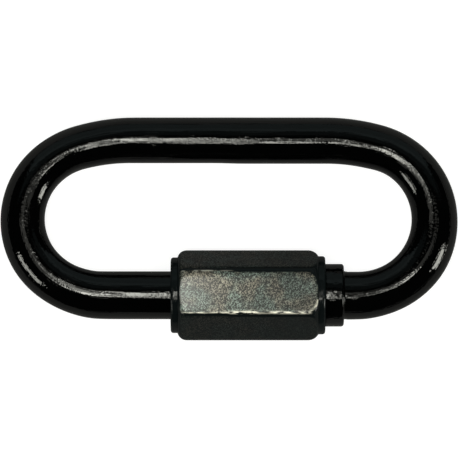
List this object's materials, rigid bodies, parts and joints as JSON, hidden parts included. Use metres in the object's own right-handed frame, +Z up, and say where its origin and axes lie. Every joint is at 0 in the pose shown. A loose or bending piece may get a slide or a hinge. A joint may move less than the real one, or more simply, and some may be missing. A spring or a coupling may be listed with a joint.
{
  "type": "chain quick link",
  "caption": "Black-coated steel quick link: a rod bent into a long oval eye, with a mouth in one limb that a six-sided sleeve nut screws across to close against a collar.",
  "frame": {"origin": "middle of the link's outline on the table that it lies on", "axes": "+X along the link from the nut's open end to the collar, +Y across it from the nut to the plain limb, +Z up off the table"},
  "size_m": [0.074, 0.0362, 0.0136],
  "materials": {
    "rod_coat": "glossy black coat on steel, faintly pebbled",
    "nut_coat": "thin satin black coat on turned steel, speckled and worn along the edges"
  },
  "bodies": {
    "link_body": {"link_body": "rod_coat"},
    "sleeve_nut": {"sleeve_nut": "nut_coat"}
  },
  "joints": [
    {"name": "nut_travel", "type": "slide", "parent": "link_body", "child": "sleeve_nut", "axis": [-1, 0, 0], "range_m": [0, 0.0125]}
  ]
}
